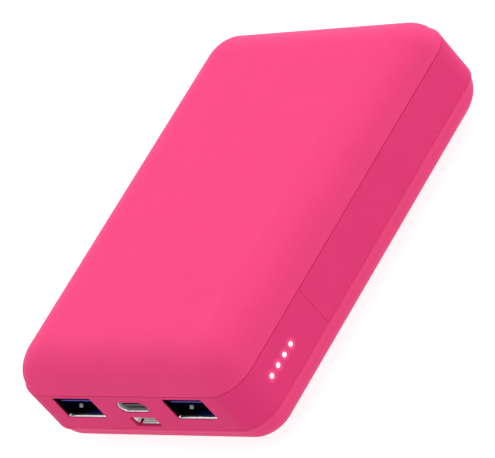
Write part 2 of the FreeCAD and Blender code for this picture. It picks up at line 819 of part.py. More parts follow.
def cell(name, number):
    """One round cell: can, plastic wrap and positive cap, turned about its own axis along Y."""
    place = ("%d * cell_pitch" % number, "can_front", "mid_level")
    can_long = "(can_back - can_front)"
    can = new_body("cell_can_" + name)
    crimp = "can_wall - crimp_deep"
    profile = [
        ("0", "0"), ("can_wall - 0.4", "0"), ("can_wall", "0.4"), ("can_wall", "crimp_in - 0.6"),
        (crimp, "crimp_in"), ("can_wall", "crimp_in + 0.6"), ("can_wall", can_long), ("0", can_long),
    ]
    turn(can, polygon(can, "XY", ("0", "0", "0"), profile), "V_Axis")
    stand(can, place)

    wrap = new_body("cell_wrap_" + name)
    inner = "can_wall + 0.02"
    outline = [(inner, "0.1"), ("cell_radius", "0.1"), ("cell_radius", can_long), (inner, can_long)]
    turn(wrap, polygon(wrap, "XY", ("0", "0", "0"), outline), "V_Axis")
    stand(wrap, place)

    cap = new_body("cell_cap_" + name)
    outline = [
        ("0", "0"), ("cap_radius", "0"), ("cap_radius", "-cap_rise + 0.2"),
        ("cap_radius - 0.2", "-cap_rise"), ("0", "-cap_rise"),
    ]
    turn(cap, polygon(cap, "XY", ("0", "0", "0"), outline), "V_Axis")
    stand(cap, place)


def end_washers():
    """Card washers that keep the front strip off the cans."""
    body = new_body("end_washers")
    spots = [("%d * cell_pitch" % number, "mid_level") for number in CELLS.values()]
    back = ("0", "can_front - 0.02", "0")
    pad(body, dots(body, "XZ", back, spots, "washer_radius"), "washer_thick", -1)
    cut(body, dots(body, "XZ", back, spots, "washer_bore"), "washer_thick", -1)


def strips():
    wide = "2 * cell_pitch + 10"
    low = ("-cell_pitch - 5", "cap_front - strip_thick", "mid_level - front_strip_rise / 2")
    front = box("front_strip", low, (wide, "strip_thick", "front_strip_rise"))
    low = ("-cell_pitch - 5", "can_back", "mid_level - rear_strip_rise / 2")
    rear = box("rear_strip", low, (wide, "strip_thick", "rear_strip_rise"))
    nodes.extend((front, rear))


def cell_saddle(label, along):
    """A plate that stands on the bottom cover and carries the cells in its hollows."""
    body = new_body(label)
    centre = ("0", along, "cover_wall + saddle_rise / 2")
    pad(body, block(body, "XZ", centre, "flat_wide", "saddle_rise"), "saddle_thick")
    spots = [("%d * cell_pitch" % number, "mid_level") for number in CELLS.values()]
    hollows = dots(body, "XZ", ("0", along, "0"), spots, "cell_radius + saddle_room")
    cut(body, hollows, "saddle_thick")


def saddles():
    cell_saddle("front_saddle", "cap_front + 8")
    cell_saddle("rear_saddle", "rest_end - saddle_thick")


def foam_pads():
    """Foam fills the room between the cells and each cover's flat."""
    front, back = "(cap_front + 8 + saddle_thick + 1)", "(rest_end - saddle_thick - 1)"
    gap = "(mid_level - cell_radius - 0.02 - cover_wall)"
    low = ("-flat_wide / 2", front, "cover_wall")
    bottom = box("bottom_pad", low, ("flat_wide", "%s - %s" % (back, front), gap))
    low = ("-flat_wide / 2", "cap_front + 4", "mid_level + cell_radius + 0.02")
    top = box("top_pad", low, ("flat_wide", "rest_end - cap_front - 4", gap))
    nodes.extend((bottom, top))


def bent_lead(label, across, level, far, radius):
    """Leads that rise from the board, bend and run back along the cells; across lists their places."""
    solids = []
    root = Vector(0, value("lead_root"), value("board_top"))
    bend, top, end = value("lead_bend"), value(level), value(far)
    for text in across:
        start = root + Vector(value(text), 0, 0)
        knee = Vector(start.x, start.y, top - bend)
        middle = Vector(start.x, start.y + bend * (1 - math.sqrt(0.5)), top - bend * (1 - math.sqrt(0.5)))
        level_off = Vector(start.x, start.y + bend, top)
        path = Part.Wire([
            Part.LineSegment(start, knee).toShape(),
            Part.Arc(knee, middle, level_off).toShape(),
            Part.LineSegment(level_off, Vector(start.x, end, top)).toShape(),
        ])
        rim = Part.Wire([Part.Circle(start, Vector(0, 0, 1), value(radius)).toShape()])
        solids.append(path.makePipeShell([rim], True, True))
    leads = doc.addObject("Part::Feature", label)
    leads.Shape = solids[0] if len(solids) == 1 else Part.makeCompound(solids)
    leads.Label = label
    nodes.append(leads)


def leads():
    bent_lead("red_lead", ["-cell_valley - 5"], "mid_level + 1.4", "cap_front - strip_thick", "lead_radius")
    bent_lead("black_lead", ["cell_valley"], "lead_level", "can_back", "lead_radius")
    pair = ["-cell_valley + %d * 0.45" % side for side in ENDS]
    bent_lead("sensor_leads", pair, "sensor_level", "can_front + sensor_in", "sensor_lead")


def temperature_sensor():
    """The sensor bead lies between two cells, at the end of its leads."""
    bead = doc.addObject("Part::Cylinder", "temperature_sensor")
    bead.Label = "temperature_sensor"
    bead.setExpression("Radius", spell("sensor_radius"))
    bead.setExpression("Height", spell("sensor_long"))
    bead.Placement.Rotation = FreeCAD.Rotation(Vector(1, 0, 0), -90)
    stand(bead, ("-cell_valley", "can_front + sensor_in", "sensor_level"))
    nodes.append(bead)


# ---------------------------------------------------------------- build and write


def check_document():
    doc.recompute()
    for thing in doc.Objects:
        if "Invalid" in thing.State or "Error" in thing.State:
            raise ValueError("%s failed" % thing.Label)
    for node in nodes:
        if node.Shape.isNull() or not node.Shape.isValid():
            raise ValueError("%s has no valid shape" % node.Label)


def write_steps():
    os.makedirs("parts", exist_ok=True)
    for node in nodes:
        node.Shape.exportStep("parts/%s.step" % node.Label)
        print("%-22s %9.3f mm3  %d solids" % (node.Label, node.Shape.Volume, len(node.Shape.Solids)))


def main():
    fill_sheet()
    top_cover()
    bottom_cover()
    side_band()
    port_frame()
    light_guide()
    lamp_diodes()
    charge_button()
    switch_body()
    switch_plunger()
    circuit_board()
    board_screws()
    coil()
    can_capacitors()
    chips()
    small_parts()
    usb_socket("usb_a_left", -1)
    usb_socket("usb_a_right", 1)
    oval_socket()
    micro_socket()
    for name, number in CELLS.items():
        cell(name, number)
    end_washers()
    strips()
    saddles()
    foam_pads()
    leads()
    temperature_sensor()
    check_document()
    write_steps()


main()
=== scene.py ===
import json
import math

import bmesh
import bpy
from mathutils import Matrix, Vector


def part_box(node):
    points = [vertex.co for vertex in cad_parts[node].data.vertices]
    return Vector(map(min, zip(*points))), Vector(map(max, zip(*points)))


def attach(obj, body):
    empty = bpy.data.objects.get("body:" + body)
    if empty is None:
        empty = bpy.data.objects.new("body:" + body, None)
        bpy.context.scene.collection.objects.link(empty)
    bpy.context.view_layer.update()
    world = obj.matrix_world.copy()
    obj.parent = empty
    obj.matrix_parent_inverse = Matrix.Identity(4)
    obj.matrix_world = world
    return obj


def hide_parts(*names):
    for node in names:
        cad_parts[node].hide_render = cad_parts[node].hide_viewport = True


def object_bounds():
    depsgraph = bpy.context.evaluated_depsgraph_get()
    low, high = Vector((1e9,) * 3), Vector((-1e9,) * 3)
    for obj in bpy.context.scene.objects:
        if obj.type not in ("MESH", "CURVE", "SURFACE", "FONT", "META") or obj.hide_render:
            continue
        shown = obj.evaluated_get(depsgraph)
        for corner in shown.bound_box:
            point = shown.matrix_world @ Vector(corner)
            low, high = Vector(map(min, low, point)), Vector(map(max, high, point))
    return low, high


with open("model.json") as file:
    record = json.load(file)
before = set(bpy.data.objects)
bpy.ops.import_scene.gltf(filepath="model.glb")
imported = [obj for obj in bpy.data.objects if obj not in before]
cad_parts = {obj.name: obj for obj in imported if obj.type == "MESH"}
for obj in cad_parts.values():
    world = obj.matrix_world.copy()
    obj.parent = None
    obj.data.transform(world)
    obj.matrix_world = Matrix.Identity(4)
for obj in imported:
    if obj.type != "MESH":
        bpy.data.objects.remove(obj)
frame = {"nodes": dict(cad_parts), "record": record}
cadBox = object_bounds()
mm = 0.001

# the case's own sizes, read from the frame
caseLow, caseHigh = cadBox
bandLow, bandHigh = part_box("side_band")
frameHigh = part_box("port_frame")[1]
wide = caseHigh.x - caseLow.x
long = caseHigh.y - caseLow.y
portFace = caseLow.y
lapReach = 3.0 * mm  # how far the two bands overlap behind the slit
slit = (bandLow.y + frameHigh.y) / 2 - lapReach / 2
seamLow, seamHigh = bandLow.z, bandHigh.z
midLevel = (seamLow + seamHigh) / 2

case = {
    "corner": 7.6 * mm,
    "cornerSteps": 20,
    "footRound": 0.17 * mm,
    "seam": 0.055 * mm,
    "lowerSeam": 0.01 * mm,
    "bandWall": 1.8 * mm,
    "bandRound": 0.10 * mm,
    "rimReach": 0.05 * mm,
    "footReach": 0.15 * mm,
}


def deselectAll():
    if bpy.context.object and bpy.context.object.mode == "EDIT":
        bpy.ops.object.mode_set(mode="OBJECT")
    bpy.ops.object.select_all(action="DESELECT")


def focus(piece):
    deselectAll()
    piece.select_set(True)
    bpy.context.view_layer.objects.active = piece


def edit(piece):
    focus(piece)
    bpy.ops.object.mode_set(mode="EDIT")


def pick(kind, test):
    # selects the vertices, edges or faces that pass a test, in edit mode
    piece = bpy.context.object
    bpy.ops.mesh.select_mode(type=kind)
    bpy.ops.mesh.select_all(action="DESELECT")
    shape = bmesh.from_edit_mesh(piece.data)
    shape.normal_update()
    for each in {"VERT": shape.verts, "EDGE": shape.edges, "FACE": shape.faces}[kind]:
        if test(each):
            each.select_set(True)
    bmesh.update_edit_mesh(piece.data)


def near(first, second, reach=0.01 * mm):
    return abs(first - second) < reach


def level(edge, height):
    return all(near(vert.co.z, height) for vert in edge.verts)


def insetOf(point, corner=case["corner"]):
    # how far a point lies inside the case's outline
    across = abs(point.x) - (wide / 2 - corner)
    along = abs(point.y) - (long / 2 - corner)
    if across > 0 and along > 0:
        return corner - math.hypot(across, along)
    return corner - max(across, along)


def applyPlace(piece):
    focus(piece)
    bpy.ops.object.transform_apply(location=True, rotation=True, scale=True)


def useModifier(piece, kind, **settings):
    focus(piece)
    modifier = piece.modifiers.new(kind.title(), kind)
    for name, setting in settings.items():
        setattr(modifier, name, setting)
    bpy.ops.object.modifier_apply(modifier=modifier.name)


def finishMesh(piece, angle=35):
    # smooth shading that leaves the flats flat
    focus(piece)
    bpy.ops.object.mode_set(mode="EDIT")
    bpy.ops.mesh.select_all(action="SELECT")
    bpy.ops.mesh.remove_doubles(threshold=0.0005 * mm)
    bpy.ops.mesh.normals_make_consistent(inside=False)
    bpy.ops.object.mode_set(mode="OBJECT")
    bpy.ops.object.shade_smooth_by_angle(angle=math.radians(angle))
    useModifier(piece, "WEIGHTED_NORMAL", keep_sharp=True)


facing = {"up": (0, 0, 0), "front": (math.pi / 2, 0, 0), "side": (math.pi / 2, 0, math.pi / 2)}


def startOutline(name, towards, centre, across, tall, corner, steps=8):
    # a rounded outline that faces up, to the socket end or to the lamp side, left selected in edit mode
    deselectAll()
    bpy.ops.mesh.primitive_plane_add(size=1, location=centre, rotation=facing[towards])
    piece = bpy.context.object
    piece.name = name
    piece.scale = (across, tall, 1)
    applyPlace(piece)
    edit(piece)
    if corner > 0:
        pick("VERT", lambda vert: True)
        bpy.ops.mesh.bevel(offset=corner, segments=steps, affect="VERTICES", clamp_overlap=False)
    pick("FACE", lambda face: True)
    return piece


def extrude(x=0, y=0, z=0):
    bpy.ops.mesh.extrude_region_move(TRANSFORM_OT_translate={"value": (x, y, z)})


def prism(name, towards, centre, across, tall, corner, depth, steps=8):
    # a closed rounded block whose front face is at the centre given and whose body runs back from it
    piece = startOutline(name, towards, centre, across, tall, corner, steps)
    back = {"up": (0, 0, -depth), "front": (0, depth, 0), "side": (-depth, 0, 0)}[towards]
    bpy.ops.mesh.duplicate()
    bpy.ops.transform.translate(value=back)
    bpy.ops.mesh.select_all(action="DESELECT")
    pick("EDGE", lambda edge: True)
    bpy.ops.mesh.bridge_edge_loops()
    bpy.ops.mesh.select_all(action="SELECT")
    bpy.ops.mesh.normals_make_consistent(inside=False)
    return piece


def rod(radius, depth, middle, turn, sides):
    deselectAll()
    bpy.ops.mesh.primitive_cylinder_add(
        vertices=sides, radius=radius, depth=depth, location=middle, rotation=turn)
    applyPlace(bpy.context.object)
    return bpy.context.object


def join(pieces):
    deselectAll()
    for piece in pieces:
        piece.select_set(True)
    bpy.context.view_layer.objects.active = pieces[0]
    bpy.ops.object.join()
    return pieces[0]


def carve(piece, cutters):
    for cutter in cutters:
        deselectAll()
        useModifier(piece, "BOOLEAN", object=cutter, operation="DIFFERENCE", solver="EXACT")
        bpy.data.objects.remove(cutter)


# inset and height above the seam: a low lip, a shallow hollow, then the dome
lipProfile = [(0, 0.38), (0.04, 0.60), (0.13, 0.84), (0.26, 1.08), (0.39, 1.34), (0.52, 1.64)]
dome = {
    "foot": 0.7 * mm,
    "inset": 0.5 * mm,
    "run": 10.2 * mm,
    "turnFrom": 9.5,
    "steps": 27,
    "cornerPull": 0.57,
}


def coverProfile():
    points = [(inset * mm, seamHigh + height * mm) for inset, height in lipProfile]
    rise = caseHigh.z - seamHigh - dome["foot"]
    for step in range(dome["steps"] + 1):
        turn = math.radians(dome["turnFrom"] + (90 - dome["turnFrom"]) * step / dome["steps"])
        inset = dome["inset"] + dome["run"] * (1 - math.cos(turn))
        points.append((inset, seamHigh + dome["foot"] + rise * math.sin(turn)))
    return points


def climb(points, startLevel):
    # each step insets the selected face, lifts it, then pulls the new outline to its true size
    inset, height = 0, startLevel
    for nextInset, nextHeight in points:
        run, lift = nextInset - inset, nextHeight - height
        if run == 0:
            extrude(z=lift)
        else:
            drawn = run * dome["cornerPull"]
            bpy.ops.mesh.inset(thickness=drawn, depth=lift)
            stretchX = (wide - 2 * nextInset) / (wide - 2 * inset - 2 * drawn)
            stretchY = (long - 2 * nextInset) / (long - 2 * inset - 2 * drawn)
            bpy.ops.transform.resize(value=(stretchX, stretchY, 1), center_override=(0, 0, 0))
        inset, height = nextInset, nextHeight


def makeTopCover():
    # a closed dome with a flat underside
    foot = seamHigh + case["seam"]
    piece = startOutline("topCover", "up", (0, 0, foot), wide, long, case["corner"], case["cornerSteps"])
    climb(coverProfile(), foot)

    def footEdge(edge):
        return level(edge, foot) and all(near(insetOf(vert.co), 0, case["rimReach"]) for vert in edge.verts)

    pick("EDGE", footEdge)
    bpy.ops.mesh.bevel(offset=case["footRound"], segments=3, affect="EDGES")
    finishMesh(piece)
    return piece


def makeBottomCover(top):
    focus(top)
    bpy.ops.object.duplicate()
    piece = bpy.context.object
    piece.name = "bottomCover"
    edit(piece)
    bpy.ops.mesh.select_all(action="SELECT")
    bpy.ops.transform.resize(value=(1, 1, -1), center_override=(0, 0, midLevel))

    def atFoot(vert):
        outer = insetOf(vert.co) < case["rimReach"] + case["footReach"]
        return outer and seamLow - case["seam"] - case["footReach"] < vert.co.z

    pick("VERT", atFoot)
    bpy.ops.transform.translate(value=(0, 0, case["seam"] - case["lowerSeam"]))
    finishMesh(piece)
    return piece


print("covers")
topCover = makeTopCover()
bottomCover = makeBottomCover(topCover)


# the nodes that the band's windows fit round
sockets = {}
for side in ("left", "right"):
    low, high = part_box("usb_a_%s_shell" % side)
    sockets[side] = (low, high)
ovalLow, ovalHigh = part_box("usb_c_shell")
microLow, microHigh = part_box("micro_usb_shell")
keyLow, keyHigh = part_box("charge_button")
guideLow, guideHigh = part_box("light_guide")

windows = {
    "usbTrim": -0.33 * mm,
    "usbRoom": 0.40 * mm,
    "usbCorner": 0.35 * mm,
    "ovalRoom": 0.1 * mm,
    "ovalCorner": 1.6 * mm,
    "microRoom": 0.28 * mm,
    "microCorner": 0.5 * mm,
    "rimRound": 0.1 * mm,
    "stepWide": 0.2 * mm,
    "stepLow": 0.02 * mm,
    "stepIn": 0.05 * mm,
    "cut": 5 * mm,
    "farSide": 24.5 * mm,
    "margin": 0.3 * mm,
}
lamps = {
    "count": 4,
    "pitch": 2.8 * mm,
    "first": 10.1 * mm,
    "lift": 5.6 * mm,
    "radius": 0.6 * mm,
    "gap": 0.05 * mm,
    "barGap": 0.1 * mm,
    "barCorner": 0.4 * mm,
    "barThick": 1.2 * mm,
    "rooted": 0.3 * mm,
    "tipRound": 0.15 * mm,
    "glowReach": 1.7 * mm,
}
lampSpots = [
    Vector((wide / 2, portFace + lamps["first"] + number * lamps["pitch"], seamLow + lamps["lift"]))
    for number in range(lamps["count"])
]
key = {
    "long": 8.2 * mm,
    "rise": 3.2 * mm,
    "corner": 1.5 * mm,
    "gap": 0.1 * mm,
    "rim": 0.75 * mm,
    "slope": 0.35 * mm,
    "dish": 0.12 * mm,
    "round": 0.12 * mm,
    "flangeThick": 0.8 * mm,
    "flangeGap": 0.05 * mm,
    "flangeRound": 0.1 * mm,
    "stem": 1 * mm,
}


def makeBandTube(name):
    piece = startOutline(name, "up", (0, 0, seamLow), wide, long, case["corner"], case["cornerSteps"])
    bpy.ops.mesh.delete(type="ONLY_FACE")
    pick("EDGE", lambda edge: True)
    bpy.ops.mesh.extrude_edges_move(TRANSFORM_OT_translate={"value": (0, 0, seamHigh - seamLow)})
    bpy.ops.mesh.select_all(action="SELECT")
    bpy.ops.mesh.normals_make_consistent(inside=False)
    bpy.ops.object.mode_set(mode="OBJECT")
    useModifier(piece, "SOLIDIFY", thickness=case["bandWall"], offset=-1, use_even_offset=True)
    return piece


def trimBand(piece, at, keepFar):
    edit(piece)
    bpy.ops.mesh.select_all(action="SELECT")
    bpy.ops.mesh.bisect(
        plane_co=(0, at, 0), plane_no=(0, 1, 0), clear_inner=keepFar, clear_outer=not keepFar, use_fill=True)
    bpy.ops.object.mode_set(mode="OBJECT")


def roundBand(piece, at):
    # rounds the outer rims along both seams and down the slit
    def outerRim(edge):
        middle = (edge.verts[0].co + edge.verts[1].co) / 2
        onFace = all(near(insetOf(vert.co), 0, 0.02 * mm) for vert in edge.verts)
        alongSeam = level(edge, seamLow) or level(edge, seamHigh)
        return onFace and (alongSeam or near(middle.y, at))

    edit(piece)
    pick("EDGE", outerRim)
    bpy.ops.mesh.bevel(offset=case["bandRound"], segments=3, affect="EDGES")
    bpy.ops.object.mode_set(mode="OBJECT")


slitGap = 0.015 * mm


def makeSideBand():
    piece = makeBandTube("sideBand")
    trimBand(piece, slit + slitGap / 2, True)
    roundBand(piece, slit + slitGap / 2)
    finishMesh(piece)
    return piece


def windowCutters():
    cutters = []
    front, cut = portFace - 1 * mm, windows["cut"]
    for low, high in sockets.values():
        centre = (low + high) / 2
        across, tall = high.x - low.x, high.z - low.z
        cutters.append(prism(
            "cutter", "front", (centre.x, front, centre.z), across + 2 * windows["usbTrim"],
            tall + 2 * windows["usbRoom"], windows["usbCorner"], cut))
        # behind the window the wall steps back round the shell
        cutters.append(prism(
            "cutter", "front", (centre.x, low.y - windows["stepIn"], centre.z), across + windows["stepWide"],
            tall + 2 * windows["usbRoom"] - windows["stepLow"], windows["usbCorner"], cut))
    for low, high, room, corner in ((ovalLow, ovalHigh, windows["ovalRoom"], windows["ovalCorner"]),
                                    (microLow, microHigh, windows["microRoom"], windows["microCorner"])):
        centre = (low + high) / 2
        cutters.append(prism(
            "cutter", "front", (centre.x, front, centre.z), high.x - low.x + 2 * room,
            high.z - low.z + 2 * room, corner, cut))
    centre = (keyLow + keyHigh) / 2
    cutters.append(prism(
        "cutter", "side", (caseLow.x + 3 * mm, centre.y, centre.z), key["long"] + 2 * key["gap"],
        key["rise"] + 2 * key["gap"], key["corner"] + key["gap"], cut))
    for spot in lampSpots:
        cutters.append(rod(lamps["radius"] + lamps["gap"], 6 * mm, spot, (0, math.pi / 2, 0), 32))
    return cutters


def makePortFrame():
    piece = makeBandTube("portFrame")
    trimBand(piece, slit - slitGap / 2, False)
    roundBand(piece, slit - slitGap / 2)
    carve(piece, windowCutters())

    def windowRim(edge):
        if len(edge.link_faces) != 2:
            return False
        onFront = all(near(vert.co.y, portFace, 0.002 * mm) for vert in edge.verts)
        inside = all(
            abs(vert.co.x) < windows["farSide"]
            and seamLow + windows["margin"] < vert.co.z < seamHigh - windows["margin"] for vert in edge.verts)
        turned = edge.calc_face_angle(0) > 1
        return onFront and inside and turned

    edit(piece)
    pick("EDGE", windowRim)
    bpy.ops.mesh.bevel(offset=windows["rimRound"], segments=3, affect="EDGES")
    bpy.ops.object.mode_set(mode="OBJECT")
    finishMesh(piece)
    return piece


print("band")
sideBand = makeSideBand()
portFrame = makePortFrame()


def makeLampGuide():
    centre = (guideLow + guideHigh) / 2
    barFront = wide / 2 - case["bandWall"] - lamps["barGap"]
    bar = prism(
        "lampGuide", "side", (barFront, centre.y, centre.z), guideHigh.y - guideLow.y,
        guideHigh.z - guideLow.z, lamps["barCorner"], lamps["barThick"])
    parts = [bar]
    depth = wide / 2 - barFront + lamps["rooted"]
    for spot in lampSpots:
        pin = rod(lamps["radius"], depth, (wide / 2 - depth / 2, spot.y, spot.z), (0, math.pi / 2, 0), 32)
        edit(pin)
        pick("EDGE", lambda edge: all(near(vert.co.x, wide / 2) for vert in edge.verts))
        bpy.ops.mesh.bevel(offset=lamps["tipRound"], segments=3, affect="EDGES")
        parts.append(pin)
    piece = join(parts)
    finishMesh(piece)
    return piece


def makeChargeKey():
    centre = (keyLow + keyHigh) / 2
    wallIn = caseLow.x + case["bandWall"]
    body = prism(
        "chargeKey", "side", (wallIn + key["gap"], centre.y, centre.z), key["long"], key["rise"],
        key["corner"], case["bandWall"] + key["gap"], 10)

    def outerFace(face):
        return near(face.calc_center_median().x, caseLow.x)

    pick("FACE", outerFace)
    bpy.ops.mesh.inset(thickness=key["rim"], depth=0)
    bpy.ops.mesh.inset(thickness=key["slope"], depth=-key["dish"])
    pick("EDGE", lambda edge: all(near(vert.co.x, caseLow.x, 0.001 * mm) for vert in edge.verts)
         and abs(edge.calc_face_angle(0)) > 1)
    bpy.ops.mesh.bevel(offset=key["round"], segments=3, affect="EDGES")
    flangeBack = wallIn + key["flangeThick"] + key["flangeGap"]
    flange = prism(
        "flange", "side", (flangeBack, centre.y, centre.z), keyHigh.y - keyLow.y, keyHigh.z - keyLow.z,
        key["corner"], key["flangeThick"])
    pick("EDGE", lambda edge: abs(edge.calc_face_angle(0)) > 1)
    bpy.ops.mesh.bevel(offset=key["flangeRound"], segments=2, affect="EDGES")
    stemLong = keyHigh.x - wallIn - key["flangeThick"]
    stem = rod(key["stem"], stemLong, (keyHigh.x - stemLong / 2, centre.y, centre.z), (0, math.pi / 2, 0), 24)
    piece = join([body, flange, stem])
    finishMesh(piece)
    return piece


print("lamps and key")
lampGuide = makeLampGuide()
chargeKey = makeChargeKey()


shells = {
    "sheet": 0.3 * mm,
    "corner": 0.5 * mm,
    "ovalCorner": 1.5 * mm,
    "microTaper": 0.85 * mm,
    "microRound": 0.2 * mm,
    "litDepth": 3 * mm,
    "mouthRound": 0.06 * mm,
}
# the mouth's rolled lip: inset and depth of each step, in mm
wideLip = [(0.05, 0), (0.07, 0.06), (0.08, 0.16), (0.06, 0.20), (0.04, 0.26)]
smallLip = [(0.06, 0), (0.07, 0.06), (0.07, 0.16), (0.05, 0.20)]
lipDeep = sum(depth for inset, depth in wideLip) * mm
tongue = {
    "wide": 11.1 * mm,
    "rise": 1.84 * mm,
    "lift": 0.65 * mm,
    "recess": 0.6 * mm,
    "corner": 0.15 * mm,
    "nose": 0.22 * mm,
    "heel": 4 * mm,
    "heelRoom": 0.8 * mm,
    "heelRound": 0.2 * mm,
    "tipDeep": 0.25 * mm,
    "tipRise": 0.2 * mm,
}
leaf = {
    "wide": 1.1 * mm,
    "long": 0.9 * mm,
    "thick": 0.12 * mm,
    "corner": 0.08 * mm,
    "round": 0.04 * mm,
    "lean": 38.5,
    "aside": 0.35 * mm,
    "in": 0.32 * mm,
    "lift": 0.22 * mm,
}
flare = {"from": 0.8 * mm, "to": 0.35 * mm, "out": 0.36 * mm, "proud": 0.14 * mm, "mouth": 12.34 * mm}
lipNotch = {"radius": 0.42 * mm, "aside": 0.95 * mm, "rise": 0.22 * mm, "deep": 1.2 * mm}


def hollow(piece, front, back, lip):
    # rolls the mouth's lip inwards, then sinks the cavity in two lengths
    def mouth(face):
        return near(face.calc_center_median().y, front) and abs(face.normal.y) > 0.9

    pick("FACE", mouth)
    for inset, depth in lip:
        bpy.ops.mesh.inset(thickness=inset * mm, depth=-depth * mm)
    sheet = sum(inset for inset, depth in lip) * mm
    rolled = sum(depth for inset, depth in lip) * mm
    extrude(y=shells["litDepth"] - rolled)
    extrude(y=back - front - sheet - shells["litDepth"])
    pick("EDGE", lambda edge: all(near(vert.co.y, front, 0.001 * mm) for vert in edge.verts)
         and abs(edge.calc_face_angle(0)) > 1.2)
    bpy.ops.mesh.bevel(offset=shells["mouthRound"], segments=2, affect="EDGES")


def makeUsbShell(side):
    # the shell opens out a little, upwards and downwards, just behind its mouth
    low, high = sockets[side]
    centre = (low + high) / 2
    across, tall = high.x - low.x, high.z - low.z
    front = low.y + flare["from"]
    piece = prism(
        "usbShell" + side.title(), "front", (centre.x, front, centre.z), across, tall,
        shells["corner"], high.y - front, 4)
    pick("FACE", lambda face: near(face.calc_center_median().y, front))
    extrude(y=flare["to"] - flare["from"])
    bpy.ops.transform.resize(value=(1, 1, (tall + 2 * flare["out"]) / tall), center_override=centre)
    extrude(y=-flare["to"])
    extrude()
    bpy.ops.transform.resize(value=(flare["mouth"] / across, 1, 1), center_override=centre)
    extrude(y=-flare["proud"])
    hollow(piece, low.y - flare["proud"], high.y, wideLip)
    finishMesh(piece)
    return piece


def makeUsbTongue(side):
    low, high = sockets[side]
    centre = (low + high) / 2
    front = low.y + tongue["recess"]
    back = high.y - shells["sheet"] - 0.1 * mm
    blade = prism(
        "usbTongue" + side.title(), "front", (centre.x, front, centre.z + tongue["lift"]),
        tongue["wide"], tongue["rise"], tongue["corner"], back - front, 3)
    pick("EDGE", lambda edge: all(near(vert.co.y, front) for vert in edge.verts))
    bpy.ops.mesh.bevel(offset=tongue["nose"], segments=3, affect="EDGES")
    heelFront, room = back - tongue["heel"], tongue["heelRoom"]
    heel = prism(
        "heel", "front", (centre.x, heelFront, centre.z), high.x - low.x - room, high.z - low.z - room,
        tongue["heelRound"], tongue["heel"], 3)
    pick("EDGE", lambda edge: all(near(vert.co.y, heelFront) for vert in edge.verts))
    bpy.ops.mesh.bevel(offset=tongue["heelRound"], segments=2, affect="EDGES")
    piece = join([blade, heel])
    finishMesh(piece)
    return piece


def makeUsbLeaf(side):
    # a bright spring leaf that leans back from the mouth to the tongue's tip; its brightness is a painted
    # glint, flat grey in place of steel
    low, high = sockets[side]
    middle = (low + high) / 2
    centre = (middle.x + leaf["aside"], low.y + leaf["in"], middle.z + leaf["lift"])
    piece = prism(
        "usbLeaf" + side.title(), "up", centre, leaf["wide"], leaf["long"], leaf["corner"], leaf["thick"], 3)
    pick("EDGE", lambda edge: level(edge, centre[2]))
    bpy.ops.mesh.bevel(offset=leaf["round"], segments=2, affect="EDGES")
    bpy.ops.mesh.select_all(action="SELECT")
    bpy.ops.transform.rotate(value=-math.radians(leaf["lean"]), orient_axis="X", center_override=centre)
    finishMesh(piece)
    return piece


def makeOvalShell():
    centre = (ovalLow + ovalHigh) / 2
    piece = prism(
        "ovalShell", "front", (centre.x, ovalLow.y, centre.z), ovalHigh.x - ovalLow.x, ovalHigh.z - ovalLow.z,
        shells["ovalCorner"], ovalHigh.y - ovalLow.y, 14)
    hollow(piece, ovalLow.y, ovalHigh.y, smallLip)
    finishMesh(piece)
    return piece


def makeMicroShell():
    centre = (microLow + microHigh) / 2
    piece = startOutline(
        "microShell", "front", (centre.x, microLow.y, centre.z), microHigh.x - microLow.x,
        microHigh.z - microLow.z, 0)
    pick("VERT", lambda vert: vert.co.z < centre.z)
    bpy.ops.mesh.bevel(offset=shells["microTaper"], segments=1, affect="VERTICES")
    pick("VERT", lambda vert: True)
    bpy.ops.mesh.bevel(offset=shells["microRound"], segments=4, affect="VERTICES")
    pick("FACE", lambda face: True)
    bpy.ops.mesh.duplicate()
    bpy.ops.transform.translate(value=(0, microHigh.y - microLow.y, 0))
    pick("EDGE", lambda edge: True)
    bpy.ops.mesh.bridge_edge_loops()
    bpy.ops.mesh.select_all(action="SELECT")
    bpy.ops.mesh.normals_make_consistent(inside=False)
    hollow(piece, microLow.y, microHigh.y, smallLip)
    # a round bite out of the lip's lower edge
    bite = (microLow.x + lipNotch["aside"], microLow.y, microLow.z + lipNotch["rise"])
    carve(piece, [rod(lipNotch["radius"], 2 * lipNotch["deep"], bite, (math.pi / 2, 0, 0), 20)])
    finishMesh(piece)
    return piece


socketPitch = (sockets["right"][0].x - sockets["left"][0].x) / mm
print("sockets")
usbShells = {side: makeUsbShell(side) for side in sockets}
usbTongues = {side: makeUsbTongue(side) for side in sockets}
usbLeaves = {side: makeUsbLeaf(side) for side in sockets}
ovalShell = makeOvalShell()
microShell = makeMicroShell()


class Wire:
    # an output socket that takes plain maths
    def __init__(self, tree, socket):
        self.tree = tree
        self.socket = socket

    def maths(self, operation, first, second=None):
        node = self.tree.nodes.new("ShaderNodeMath")
        node.operation = operation
        for number, term in enumerate((first, second)):
            if isinstance(term, Wire):
                self.tree.links.new(term.socket, node.inputs[number])
            elif term is not None:
                node.inputs[number].default_value = term
        return Wire(self.tree, node.outputs[0])

    def __add__(self, other):
        return self.maths("ADD", self, other)

    def __radd__(self, other):
        return self.maths("ADD", other, self)

    def __sub__(self, other):
        return self.maths("SUBTRACT", self, other)

    def __rsub__(self, other):
        return self.maths("SUBTRACT", other, self)

    def __mul__(self, other):
        return self.maths("MULTIPLY", self, other)

    def __rmul__(self, other):
        return self.maths("MULTIPLY", other, self)

    def __truediv__(self, other):
        return self.maths("DIVIDE", self, other)

    def __pow__(self, other):
        return self.maths("POWER", self, other)


